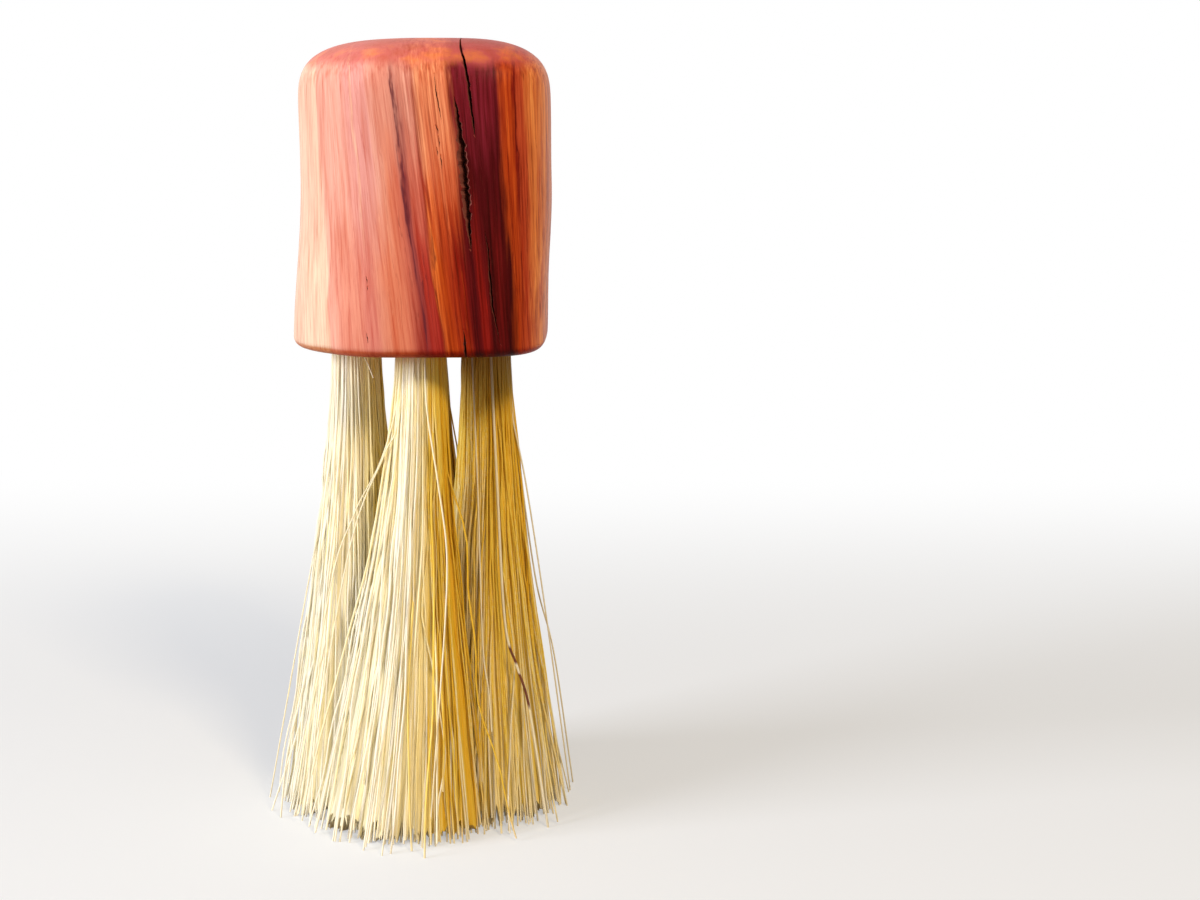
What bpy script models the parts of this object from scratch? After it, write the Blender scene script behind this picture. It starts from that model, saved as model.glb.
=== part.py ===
"""Crumb brush: a rounded hardwood block on four flared bundles of plant fibre, standing on its bristle tips.

Metres, +Z up, +X to the right and -Y towards the viewer. The origin is on the surface that the bristle tips
stand on, under the middle of the brush. Each bundle is bound with thread and glued into a blind hole in the
flat underside of the block.
"""

import math
import random

import bmesh
import bpy
from mathutils import Vector
from mathutils.geometry import delaunay_2d_cdt

# Block, measured over its widest points
BLOCK_WIDTH = 0.0573
BLOCK_DEPTH = 0.0574
BLOCK_HEIGHT = 0.0696
FOOT_FLARE = 0.0008
TOP_SHIFT = 0.0019
SHIFT_HEIGHT = 0.038
CROWN_SHIFT = 0.0026
SHOULDER_HEIGHT = 0.0154
SHOULDER_POWER = 3.4
BOTTOM_EDGE_RADIUS = 0.0023

# Roundness of the four corners of the block's plan: 2 is an ellipse, and more is squarer
POWER_BACK_RIGHT = 3.0
POWER_BACK_LEFT = 2.5
POWER_FRONT_LEFT = 2.0
POWER_FRONT_RIGHT = 4.2

# Holes for the bundles, drilled up from the underside
TUFT_NAMES = ("front", "right", "back", "left")
TUFT_TURN = math.radians(5)
HOLE_DIAMETER = 0.012
HOLE_DEPTH = 0.020
DRILL_POINT = math.radians(118)
EDGE_WALL = 0.0076

# What sits in each hole
FIT_GAP = 0.0003
ROOT_RECESS = 0.001
GLUE_THICKNESS = 0.0045
THREAD_DIAMETER = 0.0008
BINDING_MARGIN = 0.004

# Bristles
BRISTLE_LENGTH = 0.112
STRAND_ROOT_RADIUS = 0.00038
STRAND_TIP_RADIUS = 0.00064
STRAND_GAP = 0.0001
MOUTH_MARGIN = 0.00025
STRAND_SIDES = 3
STRAND_KNOTS = (0.0, 0.08, 0.46, 1.0)
FLARE_POWER = 1.2
WANDER = 0.35

# Ground that the tips cover, twisted a little against the holes
FOOT_WIDTH = 0.0785
FOOT_DEPTH = 0.0676
FOOT_TWIST = math.radians(12)
FOOT_RIGHT = -0.0001
FOOT_BACK = -0.0001
AXIS_RIGHT = 0.0008
AXIS_BACK = 0.0011
TUFT_REACH = 0.0240
TUFT_GAP = 0.0016
CORNER_SOFTNESS = 7

# Facets
BLOCK_SIDES = 60
SHOULDER_STEPS = 8
WALL_STEPS = 6
EDGE_STEPS = 3
HOLE_SIDES = 20

# Edges that bend more than this are shaded as creases
WOOD_CREASE = math.radians(40)
THREAD_CREASE = math.radians(60)
STRAND_CREASE = math.radians(75)

GOLDEN_ANGLE = math.pi * (3 - math.sqrt(5))
# Least distance between two points of a golden-angle spiral, times the root of their count, over its radius
SPIRAL_SPACING = 1.54
SHORT_STEP = 1e-7

TUFT_STEP = math.tau / len(TUFT_NAMES)
HALF_DRILL_POINT = DRILL_POINT / 2
HOLE_RADIUS = HOLE_DIAMETER / 2
TUFT_CIRCLE_RADIUS = BLOCK_DEPTH / 2 - EDGE_WALL - HOLE_RADIUS
ROOT_RADIUS = HOLE_RADIUS - FIT_GAP
WAIST_RADIUS = ROOT_RADIUS - THREAD_DIAMETER - FIT_GAP
ROOT_TOP = HOLE_DEPTH - GLUE_THICKNESS
ROOT_LENGTH = ROOT_TOP - ROOT_RECESS
STRAND_PITCH = 2 * STRAND_ROOT_RADIUS + STRAND_GAP
STRAND_SPREAD = ROOT_RADIUS - STRAND_ROOT_RADIUS - MOUTH_MARGIN
STRAND_COUNT = int((SPIRAL_SPACING * STRAND_SPREAD / STRAND_PITCH) ** 2)


def clear_scene():
    for item in list(bpy.data.objects):
        bpy.data.objects.remove(item, do_unlink=True)


def make_material(name, colour, roughness):
    material = bpy.data.materials.new(name)
    material.use_nodes = True
    shader = material.node_tree.nodes["Principled BSDF"]
    shader.inputs["Base Color"].default_value = (*colour, 1.0)
    shader.inputs["Roughness"].default_value = roughness
    shader.inputs["Metallic"].default_value = 0.0
    material.diffuse_color = (*colour, 1.0)
    return material


def make_object(name, bm, material, parent, crease):
    """Closes a bmesh into a named object with its faces pointing out."""
    bmesh.ops.recalc_face_normals(bm, faces=bm.faces)
    mesh = bpy.data.meshes.new(name)
    bm.to_mesh(mesh)
    bm.free()
    mesh.shade_smooth()
    mesh.set_sharp_from_angle(angle=crease)
    item = bpy.data.objects.new(name, mesh)
    bpy.context.scene.collection.objects.link(item)
    item.parent = parent
    if material:
        mesh.materials.append(material)
    return item


def make_empty(name, location, parent=None):
    item = bpy.data.objects.new(name, None)
    bpy.context.scene.collection.objects.link(item)
    item.location = location
    item.parent = parent
    return item


def turned(name, profile, material, parent, crease=WOOD_CREASE):
    """Solid of revolution about Z from a closed outline of (radius, height) points."""
    bm = bmesh.new()
    points = [bm.verts.new((radius, 0.0, height)) for radius, height in profile]
    edges = [bm.edges.new((a, b)) for a, b in zip(points, points[1:] + points[:1])]
    bmesh.ops.spin(
        bm,
        geom=points + edges,
        cent=(0, 0, 0),
        axis=(0, 0, 1),
        angle=math.tau,
        steps=HOLE_SIDES,
        use_merge=True,
    )
    bmesh.ops.remove_doubles(bm, verts=bm.verts, dist=SHORT_STEP)
    loose = [edge for edge in bm.edges if not edge.link_faces]
    bmesh.ops.delete(bm, geom=loose, context="EDGES")
    return make_object(name, bm, material, parent, crease)


def plan_power(angle):
    """Roundness of the block's plan in this direction, eased from each corner to the next."""
    corners = (POWER_BACK_RIGHT, POWER_BACK_LEFT, POWER_FRONT_LEFT, POWER_FRONT_RIGHT)
    turns = (angle / (math.pi / 2) - 0.5) % len(corners)
    corner = int(turns)
    share = smooth_share(turns - corner)
    return corners[corner] * (1 - share) + corners[(corner + 1) % len(corners)] * share


def plan_point(angle, half_width, half_depth):
    """Point of the block's rounded outline in this direction."""
    power = plan_power(angle)
    across = abs(math.cos(angle) / half_width) ** power
    along = abs(math.sin(angle) / half_depth) ** power
    radius = (across + along) ** (-1 / power)
    return radius * math.cos(angle), radius * math.sin(angle)


def smooth_share(value):
    """Eases a value from 0 to 1 between its ends."""
    value = min(max(value, 0.0), 1.0)
    return value * value * (3 - 2 * value)


def block_section(height, share):
    """Sideways shift of the block's centre line, and flare of its wall, for a section at this height."""
    shift = TOP_SHIFT * smooth_share(height / SHIFT_HEIGHT) + CROWN_SHIFT * (1 - share)
    flare = FOOT_FLARE * (1 - smooth_share(height / SHIFT_HEIGHT))
    return shift, flare


def block_levels():
    """The block's cross-sections from the underside up, as (height, inset of the wall, share of the plan)."""
    levels = []
    for step in range(EDGE_STEPS):
        angle = math.pi / 2 * step / EDGE_STEPS
        height = BOTTOM_EDGE_RADIUS * (1 - math.cos(angle))
        levels.append((height, BOTTOM_EDGE_RADIUS * (1 - math.sin(angle)), 1.0))
    shoulder = BLOCK_HEIGHT - SHOULDER_HEIGHT
    for step in range(WALL_STEPS):
        share = step / WALL_STEPS
        height = BOTTOM_EDGE_RADIUS + (shoulder - BOTTOM_EDGE_RADIUS) * share
        levels.append((height, 0.0, 1.0))
    for step in range(SHOULDER_STEPS):
        angle = math.pi / 2 * step / SHOULDER_STEPS
        height = shoulder + SHOULDER_HEIGHT * math.sin(angle) ** (2 / SHOULDER_POWER)
        levels.append((height, 0.0, math.cos(angle) ** (2 / SHOULDER_POWER)))
    return levels


def make_block(material, parent):
    """Rounded block, lofted from its underside to its crown."""
    bm = bmesh.new()
    rings = []
    for height, inset, share in block_levels():
        shift, flare = block_section(height, share)
        half_width = (BLOCK_WIDTH / 2 + flare - inset) * share
        half_depth = (BLOCK_DEPTH / 2 - inset) * share
        ring = []
        for side in range(BLOCK_SIDES):
            x, y = plan_point(math.tau * side / BLOCK_SIDES, half_width, half_depth)
            ring.append(bm.verts.new((x + shift, y, height)))
        rings.append(ring)
    for lower, upper in zip(rings, rings[1:]):
        join_rings(bm, lower, upper)
    bm.faces.new(rings[0])
    crown = bm.verts.new((TOP_SHIFT + CROWN_SHIFT, 0, BLOCK_HEIGHT))
    for first, second in neighbours(rings[-1]):
        bm.faces.new((first, second, crown))
    return make_object("handle_block", bm, material, parent, WOOD_CREASE)


def neighbours(ring):
    return zip(ring, ring[1:] + ring[:1])


def join_rings(bm, lower, upper):
    for (a, b), (c, d) in zip(neighbours(lower), neighbours(upper)):
        bm.faces.new((a, b, d, c))


def cone_rise(radius):
    """How far the drilled cone rises over the hole's straight wall at this radius."""
    return (HOLE_RADIUS - radius) / math.tan(HALF_DRILL_POINT)


def cut_hole(block, name, parent):
    """Drills one blind hole with a pointed end."""
    below = -BOTTOM_EDGE_RADIUS
    profile = [
        (0, below),
        (HOLE_RADIUS, below),
        (HOLE_RADIUS, HOLE_DEPTH),
        (0, HOLE_DEPTH + cone_rise(0)),
    ]
    cutter = turned("drill_" + name, profile, None, parent)
    cutter.hide_render = True
    cutter.display_type = "WIRE"
    cut = block.modifiers.new("hole_" + name, "BOOLEAN")
    cut.operation = "DIFFERENCE"
    cut.solver = "EXACT"
    cut.object = cutter


def make_adhesive(name, material, parent):
    """Cured glue between the root and the pointed end of the hole."""
    floor = ROOT_TOP + FIT_GAP
    drop = FIT_GAP / math.sin(HALF_DRILL_POINT)
    profile = [
        (0, floor),
        (ROOT_RADIUS, floor),
        (ROOT_RADIUS, HOLE_DEPTH + cone_rise(ROOT_RADIUS) - drop),
        (0, HOLE_DEPTH + cone_rise(0) - drop),
    ]
    return turned("adhesive_" + name, profile, material, parent)


def binding_span():
    """Lowest and highest point of the thread on the root, over the underside."""
    margin = min(BINDING_MARGIN, ROOT_LENGTH / 3)
    return ROOT_RECESS + margin, ROOT_TOP - margin


def make_binding(name, material, parent):
    """Thread wound close round the waist of the root, turn beside turn."""
    low, high = binding_span()
    turns = max(1, round((high - low) / THREAD_DIAMETER))
    pitch = (high - low) / turns
    inner = WAIST_RADIUS + FIT_GAP
    groove = inner + THREAD_DIAMETER / 2
    outer = inner + THREAD_DIAMETER
    profile = [(inner, high), (inner, low)]
    for turn in range(turns):
        start = low + turn * pitch
        profile.append((groove, start))
        profile.append((outer, start + pitch / 2))
    profile.append((groove, high))
    return turned("binding_" + name, profile, material, parent, THREAD_CREASE)


def circle_point(angle):
    return Vector((TUFT_CIRCLE_RADIUS * math.cos(angle), TUFT_CIRCLE_RADIUS * math.sin(angle)))


def distance_to_ellipse(start, way):
    """How far it is from a point inside the foot's ellipse to its edge."""
    width, depth = FOOT_WIDTH / 2, FOOT_DEPTH / 2
    a = (way.x / width) ** 2 + (way.y / depth) ** 2
    b = start.x * way.x / width**2 + start.y * way.y / depth**2
    c = (start.x / width) ** 2 + (start.y / depth) ** 2 - 1
    return (math.sqrt(b * b - a * c) - b) / a


def spread_limit(foot_angle, way_angle):
    """How far one tuft's tips reach from the middle of its foot in this direction, clear of the others."""
    start = circle_point(foot_angle)
    way = Vector((math.cos(way_angle), math.sin(way_angle)))
    limits = [TUFT_REACH, distance_to_ellipse(start, way)]
    for side in (-1, 1):
        edge = foot_angle + side * TUFT_STEP / 2
        outward = Vector((-math.sin(edge), math.cos(edge))) * side
        facing = outward.dot(way)
        if facing > 0:
            limits.append((-TUFT_GAP / 2 - outward.dot(start)) / facing)
    softened = sum(limit**-CORNER_SOFTNESS for limit in limits) ** (-1 / CORNER_SOFTNESS)
    return softened - STRAND_TIP_RADIUS


def strand_rings(index, station_angle, chance):
    """The cross-sections of one strand from root to tip, each a list of points round it.

    A strand keeps its place among the others as the bundle flares, so that none cross. It wanders by no more
    than a share of the free space round it.
    """
    foot_angle = station_angle - FOOT_TWIST
    share = math.sqrt((index + 0.5) / STRAND_COUNT)
    angle = index * GOLDEN_ANGLE
    way = Vector((math.cos(angle), math.sin(angle)))
    reach = spread_limit(foot_angle, angle)
    root = way * STRAND_SPREAD * share
    foot = circle_point(foot_angle) + Vector((FOOT_RIGHT, FOOT_BACK))
    station = circle_point(station_angle) + Vector((AXIS_RIGHT, AXIS_BACK))
    tip = foot - station + way * reach * share
    rings = []
    for knot in STRAND_KNOTS:
        spread = knot**FLARE_POWER
        radius = STRAND_ROOT_RADIUS + (STRAND_TIP_RADIUS - STRAND_ROOT_RADIUS) * knot
        centre = root.lerp(tip, spread)
        if knot:
            growth = 1 + spread * (reach / STRAND_SPREAD - 1)
            free = STRAND_PITCH * growth - 2 * radius
            drift = chance.uniform(0, math.tau)
            centre += Vector((math.cos(drift), math.sin(drift))) * max(free, 0) / 2 * WANDER
        height = ROOT_RECESS - (ROOT_RECESS + BRISTLE_LENGTH) * knot
        ring = []
        for side in range(STRAND_SIDES):
            turn = angle + math.tau * side / STRAND_SIDES
            offset = Vector((math.cos(turn), math.sin(turn))) * radius
            ring.append((centre.x + offset.x, centre.y + offset.y, height))
        rings.append(ring)
    return rings


def make_tuft(name, station_angle, seed, material, parent):
    """Bundle of strands that all grow from one bound root."""
    bm = bmesh.new()
    chance = random.Random(seed)
    rings = [strand_rings(index, station_angle, chance) for index in range(STRAND_COUNT)]
    mouth = circle_points(ROOT_RADIUS, ROOT_RECESS)
    flat = [Vector(point[:2]) for point in mouth]
    borders = [(i, (i + 1) % HOLE_SIDES) for i in range(HOLE_SIDES)]
    for strand in rings:
        start = len(flat)
        flat.extend(Vector(point[:2]) for point in strand[0])
        for side in range(STRAND_SIDES):
            borders.append((start + side, start + (side + 1) % STRAND_SIDES))
    points, _, faces, sources, _, _ = delaunay_2d_cdt(flat, borders, [], 0, SHORT_STEP, True)
    corners = [bm.verts.new((point.x, point.y, ROOT_RECESS)) for point in points]
    place = {source: corner for corner, found in zip(corners, sources) for source in found}
    owner = {}
    for index in range(STRAND_COUNT):
        for side in range(STRAND_SIDES):
            owner[place[HOLE_SIDES + index * STRAND_SIDES + side]] = index
    for face in faces:
        around = [corners[corner] for corner in face]
        owners = {owner.get(corner, -1) for corner in around}
        if len(owners) > 1 or -1 in owners:
            bm.faces.new(around)
    for index, strand in enumerate(rings):
        start = HOLE_SIDES + index * STRAND_SIDES
        lower = [place[start + side] for side in range(STRAND_SIDES)]
        for points_round in strand[1:]:
            upper = [bm.verts.new(point) for point in points_round]
            join_rings(bm, lower, upper)
            lower = upper
        bm.faces.new(lower)
    add_root(bm, [place[side] for side in range(HOLE_SIDES)])
    return make_object("tuft_" + name, bm, material, parent, STRAND_CREASE)


def circle_points(radius, height):
    points = []
    for side in range(HOLE_SIDES):
        angle = math.tau * side / HOLE_SIDES
        points.append((radius * math.cos(angle), radius * math.sin(angle), height))
    return points


def add_root(bm, mouth):
    """The packed root over the strands, drawn in at the waist where the thread holds it."""
    low, high = binding_span()
    profile = (
        (ROOT_RADIUS, low - FIT_GAP),
        (WAIST_RADIUS, low - FIT_GAP),
        (WAIST_RADIUS, high + FIT_GAP),
        (ROOT_RADIUS, high + FIT_GAP),
        (ROOT_RADIUS, ROOT_TOP),
    )
    lower = mouth
    for radius, height in profile:
        upper = [bm.verts.new(point) for point in circle_points(radius, height)]
        join_rings(bm, lower, upper)
        lower = upper
    bm.faces.new(lower)


def main():
    clear_scene()
    wood = make_material("oiled_wood", (0.46, 0.13, 0.06), 0.38)
    fibre = make_material("plant_fibre", (0.78, 0.62, 0.27), 0.55)
    thread = make_material("waxed_thread", (0.55, 0.47, 0.33), 0.8)
    glue = make_material("cured_glue", (0.62, 0.45, 0.22), 0.3)
    underside = make_empty("underside", (AXIS_RIGHT, AXIS_BACK, BRISTLE_LENGTH))
    block = make_block(wood, underside)
    for number, name in enumerate(TUFT_NAMES):
        angle = -math.pi / 2 + TUFT_TURN + number * TUFT_STEP
        place = circle_point(angle)
        station = make_empty("station_" + name, (place.x, place.y, 0), underside)
        cut_hole(block, name, station)
        make_adhesive(name, glue, station)
        make_binding(name, thread, station)
        make_tuft(name, angle, number, fibre, station)


main()
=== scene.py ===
"""Looks of the crumb brush: an oiled, striped hardwood block on four bundles of plant fibre.

Metres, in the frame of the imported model: +Z up, +X to the right, and -Y towards the viewer. The block is
made again with a fine surface, its drying cracks and its holes, and each bundle is made of single fibres.
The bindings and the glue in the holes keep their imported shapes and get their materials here.
"""

import math
import random

import bmesh
import bpy
import numpy as np
from mathutils import Matrix, Vector, noise


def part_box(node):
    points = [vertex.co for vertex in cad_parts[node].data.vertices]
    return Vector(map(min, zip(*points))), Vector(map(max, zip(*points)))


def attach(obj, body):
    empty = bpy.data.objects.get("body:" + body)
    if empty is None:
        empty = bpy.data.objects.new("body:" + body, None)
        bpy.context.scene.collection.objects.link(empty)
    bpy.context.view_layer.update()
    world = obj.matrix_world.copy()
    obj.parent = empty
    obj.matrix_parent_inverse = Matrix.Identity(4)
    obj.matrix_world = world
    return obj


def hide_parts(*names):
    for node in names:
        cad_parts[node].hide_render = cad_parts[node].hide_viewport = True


MM = 0.001

# Camera, at the height of a standing phone, a little to the right of the brush
CAMERA_PLACE = (0.0427, -0.4191, 0.165)
CAMERA_PITCH = math.radians(10.6)
CAMERA_LENS = 54
SENSOR_WIDTH = 36

# Lamps that point at the brush, as (turn from +X, rise over the floor, distance, side, watts, colour)
AIM = (0.0, 0.0, 0.10)
WINDOW = (math.radians(204), math.radians(20), 1.3, 0.60, 18.0, (1.0, 0.99, 0.98))
ROOM_LAMP = (math.radians(-60), math.radians(41), 1.2, 0.24, 8.2, (1.0, 0.78, 0.48))
SKY_COLOUR = (1.0, 0.95, 0.88)
SKY_STRENGTH = 0.27

# Floor and wall
STAGE_HALF_WIDTH = 3.0
STAGE_FRONT = -1.2
STAGE_BACK = 0.9
STAGE_BEND = 0.5
STAGE_TOP = 3.0
STAGE_STEPS = 24
FLOOR_COLOUR = (0.44, 0.47, 0.53)
FLOOR_BOUNCE = (0.34, 0.26, 0.17)
FLOOR_LIFT = 0.42
FLOOR_ROUGHNESS = 0.75
FADE_FROM = 0.06
FADE_TO = 0.40

# Block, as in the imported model
BLOCK_WIDTH = 57.3 * MM
BLOCK_DEPTH = 57.4 * MM
BLOCK_HEIGHT = 69.6 * MM
FOOT_FLARE = 0.8 * MM
TOP_SHIFT = 1.9 * MM
SHIFT_HEIGHT = 38.0 * MM
CROWN_SHIFT = 2.6 * MM
SHOULDER_HEIGHT = 15.4 * MM
SHOULDER_POWER = 3.4
BOTTOM_EDGE_RADIUS = 2.3 * MM
CORNER_POWERS = (3.0, 2.5, 2.0, 4.2)

# Holes for the bundles
TUFT_NAMES = ("front", "right", "back", "left")
TUFT_TURN = math.radians(5)
HOLE_RADIUS = 6.0 * MM
HOLE_DEPTH = 20.0 * MM
DRILL_POINT = math.radians(118)
EDGE_WALL = 7.6 * MM
FIT_GAP = 0.3 * MM

# Fine surface of the block
BLOCK_SIDES = 300
EDGE_STEPS = 7
WALL_STEPS = 64
SHOULDER_STEPS = 44
SHOULDER_EASE = 1.65
HAND_WORK = 0.16 * MM
HAND_WORK_SIZE = 13.0 * MM
HOLE_SIDES = 48
FRONT_HALVINGS = 30
WOOD_CREASE = math.radians(35)

# Where the end grain, lightened on top as painted sheen, and the painted shade on the rim at the foot show,
# by how far the surface looks up or down
TOP_TILT = 0.38
FOOT_TILT = -0.12
TILT_SPAN = 0.36
END_RAGGEDNESS = 0.13
END_PATCH_SIZE = 5.0 * MM

# Growth rings: their middle, and how far the bands lean as they go down the front, in millimetres
RING_MIDDLE_X = 180.0
RING_MIDDLE_Y = -27.8
BAND_LEAN = 0.115
LEAN_MIDDLE = 3.0
LEAN_WIDTH = 20.0
LEAN_ROUNDS = 4
BAND_HEIGHT = 146.5

# Colours of the wood
CREAM = (0.93, 0.69, 0.53)
PEACH = (0.91, 0.56, 0.43)
SALMON = (0.88, 0.44, 0.36)
CLAY = (0.80, 0.31, 0.23)
PINK = (0.80, 0.37, 0.35)
BLUSH = (0.74, 0.25, 0.21)
CORAL = (0.82, 0.27, 0.17)
ROSE = (0.68, 0.18, 0.13)
CRIMSON = (0.50, 0.050, 0.035)
PLUM = (0.36, 0.075, 0.075)
BRICK = (0.43, 0.055, 0.035)
FLAME = (0.86, 0.22, 0.085)
ORANGE = (0.66, 0.115, 0.032)
RUST = (0.42, 0.040, 0.010)
COPPER = (0.56, 0.085, 0.012)
GOLD = (0.86, 0.31, 0.17)
WINE = (0.17, 0.007, 0.008)
MAROON = (0.085, 0.003, 0.006)
NIGHT = (0.060, 0.002, 0.003)
BLOOD = (0.27, 0.011, 0.007)
AMBER = (0.60, 0.082, 0.014)
EMBER = (0.62, 0.092, 0.036)
DUSTY = (0.80, 0.37, 0.31)
BRIGHT = (0.95, 0.43, 0.26)
TAN = (0.96, 0.31, 0.095)
PURPLE = (0.24, 0.016, 0.036)
GLOW = (0.80, 0.19, 0.040)
DEEP_RED = (0.31, 0.016, 0.016)
DEEP_ORANGE = (0.38, 0.040, 0.004)
# End grain on the top, lightened over the dark heart as painted sheen
END_GRAIN_SHEEN_ROSE = (0.62, 0.125, 0.120)
END_GRAIN_SHEEN_ORANGE = (0.80, 0.22, 0.085)
END_GRAIN_SHEEN_RED = (0.55, 0.10, 0.075)
# Painted shade: tint on the downward-facing rim at the block's foot
FOOT_SHADE = (0.72, 0.38, 0.22)
CRACK_WALL = (0.27, 0.085, 0.070)
PORE = (0.20, 0.05, 0.03)

# Bands across the front, over and under the block's middle height: where each colour is full, in
# millimetres from the middle
UPPER_BANDS = (
    (-40, PEACH),
    (-24, CREAM),
    (-21.5, PEACH),
    (-19.5, CREAM),
    (-19.0, SALMON),
    (-13.0, SALMON),
    (-9.8, PINK),
    (-9.4, PEACH),
    (-9.0, PINK),
    (-6.0, PINK),
    (-3.9, SALMON),
    (-2.2, CORAL),
    (0.2, ROSE),
    (0.9, PLUM),
    (1.6, PLUM),
    (2.3, ROSE),
    (4.2, ROSE),
    (4.8, BRICK),
    (5.6, BRICK),
    (6.0, FLAME),
    (7.2, FLAME),
    (7.8, ORANGE),
    (11.7, ORANGE),
    (13.1, WINE),
    (14.6, MAROON),
    (21.4, MAROON),
    (22.6, AMBER),
    (24.2, AMBER),
    (24.9, BLOOD),
    (25.4, EMBER),
    (26.4, EMBER),
    (27.6, TAN),
)
LOWER_BANDS = (
    (-40, PEACH),
    (-24, CREAM),
    (-18.4, CREAM),
    (-17.9, SALMON),
    (-14.8, CLAY),
    (-12.0, CLAY),
    (-9.6, BLUSH),
    (-8.4, BLUSH),
    (-7.2, CLAY),
    (-5.2, CORAL),
    (-3.4, CORAL),
    (-0.4, ROSE),
    (0.7, PLUM),
    (1.5, PLUM),
    (2.3, CRIMSON),
    (3.9, CRIMSON),
    (4.4, BLOOD),
    (5.0, GLOW),
    (5.7, COPPER),
    (6.8, COPPER),
    (8.2, RUST),
    (10.4, BLOOD),
    (12.0, WINE),
    (13.6, MAROON),
    (15.0, BLOOD),
    (16.6, WINE),
    (17.8, NIGHT),
    (19.4, WINE),
    (22.2, NIGHT),
    (23.7, AMBER),
    (26.0, EMBER),
    (28.2, TAN),
)
BANDS_FROM = -46.0
BANDS_TO = 31.5
BANDS_CHANGE = (130.0, 154.0)
RIBBONS_FROM = (1.0, 5.0)

# Patches of another colour, as (band's left edge, its right edge, height where it starts, height where it
# is full, colour, share)
PATCHES = (
    (13.2, 22.0, 154.0, 166.0, PURPLE, 0.75),
    (6.0, 12.4, 144.0, 160.0, GOLD, 0.80),
    (-5.0, 5.0, 150.0, 164.0, DUSTY, 0.70),
    (5.4, 7.2, 150.0, 160.0, BRIGHT, 0.75),
    (-1.5, 5.2, 134.0, 114.0, DEEP_RED, 0.55),
    (6.0, 11.5, 134.0, 116.0, DEEP_ORANGE, 0.50),
)
PATCH_SOFTNESS = 1.0

# Wavy lines along the grain, as (place across the bands, half width, lowest height, highest height,
# colour, share)
LINES = (
    (1.0, 0.34, 112.0, 176.0, (0.13, 0.022, 0.040), 0.85),
    (1.9, 0.16, 118.0, 152.0, (0.18, 0.025, 0.035), 0.65),
    (-0.6, 0.14, 116.0, 146.0, (0.30, 0.060, 0.045), 0.60),
    (3.2, 0.18, 112.0, 140.0, (0.16, 0.014, 0.022), 0.60),
    (4.9, 0.20, 112.0, 150.0, (0.16, 0.020, 0.014), 0.75),
    (8.9, 0.18, 112.0, 138.0, (0.22, 0.020, 0.006), 0.70),
    (9.9, 0.22, 112.0, 146.0, (0.20, 0.018, 0.006), 0.65),
    (11.0, 0.16, 112.0, 134.0, (0.62, 0.105, 0.016), 0.60),
    (16.0, 0.45, 113.0, 127.0, (0.44, 0.018, 0.010), 0.60),
    (23.3, 0.16, 114.0, 168.0, (0.20, 0.010, 0.006), 0.70),
    (25.0, 0.22, 116.0, 172.0, (0.15, 0.006, 0.006), 0.75),
    (26.6, 0.14, 112.0, 160.0, (0.26, 0.030, 0.015), 0.60),
    (28.8, 0.10, 112.0, 165.0, (0.50, 0.110, 0.045), 0.40),
    (-3.4, 0.16, 112.0, 172.0, (0.52, 0.130, 0.090), 0.45),
    (-5.2, 0.12, 112.0, 160.0, (0.96, 0.480, 0.340), 0.50),
    (-7.6, 0.16, 112.0, 175.0, (0.62, 0.170, 0.140), 0.40),
    (-11.4, 0.14, 112.0, 150.0, (0.62, 0.160, 0.130), 0.45),
    (-13.2, 0.18, 112.0, 140.0, (0.64, 0.180, 0.140), 0.40),
    (-15.6, 0.12, 112.0, 176.0, (0.68, 0.220, 0.170), 0.40),
    (-17.6, 0.14, 112.0, 178.0, (0.96, 0.560, 0.420), 0.40),
)
LINE_WOBBLE = 0.45
LINE_CORE = 0.25
LINE_FADE = 5.0
LINE_GAPS = (0.36, 0.56)

# Fineness of each noise in the wood, per millimetre across the rings, to the back and along the grain
DRIFT_GRAIN = (0.10, 0.07, 0.030)
FLAME_GRAIN = (0.75, 0.5, 0.060)
WOBBLE_GRAIN = (0.30, 0.20, 0.11)
GAP_GRAIN = (0.8, 0.4, 0.09)
BROAD_GRAIN = (0.9, 0.7, 0.028)
STREAK_GRAIN = (3.4, 0.6, 0.09)
RIBBON_GRAIN = (2.0, 0.4, 0.040)
PORE_GRAIN = (7.0, 7.0, 0.40)
MOTTLE_GRAIN = (0.16, 0.22, 0.22)

# How far the noises move the bands, in millimetres across them and along them
BAND_DRIFT = 1.1
BAND_FLAME = 1.2
FLAME_RISE = 14.0

# Light and dark streaks, as (value of the noise, tint that the colour is multiplied by)
BROAD_TINTS = (
    (0.30, (0.76, 0.57, 0.52)),
    (0.48, (0.87, 0.84, 0.84)),
    (0.66, (0.92, 0.94, 0.94)),
)
STREAK_TINTS = (
    (0.28, (0.84, 0.62, 0.60)),
    (0.44, (0.96, 0.91, 0.91)),
    (0.60, (1.02, 1.04, 1.04)),
    (0.76, (1.08, 1.20, 1.22)),
)
RIBBON_TINTS = (
    (0.34, (0.52, 0.34, 0.30)),
    (0.46, (0.91, 0.83, 0.81)),
    (0.56, (1.08, 1.14, 1.14)),
    (0.68, (1.34, 1.72, 1.78)),
)
# End-grain colours by the mottle noise, with painted sheen
END_GRAIN_AND_SHEEN_COLOURS = ((0.36, END_GRAIN_SHEEN_RED), (0.50, END_GRAIN_SHEEN_ROSE), (0.66, END_GRAIN_SHEEN_ORANGE))

# Wood's surface
PORE_RANGE = (0.28, 0.38)
PORE_SHARE = 0.10
END_GRAIN_AND_SHEEN_SHARE = 0.72
WOOD_ROUGHNESS = (0.36, 0.48)
WOOD_SPECULAR = 0.07
CRACK_ROUGHNESS = 0.85
GRAIN_BUMP = 0.10 * MM
GRAIN_BUMP_STRENGTH = 0.4
STREAK_RELIEF = 0.6
PORE_RELIEF = -0.4
NOISE_RANGE = (0.2, 0.8)
WOBBLE_RANGE = (0.25, 0.75)

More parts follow.
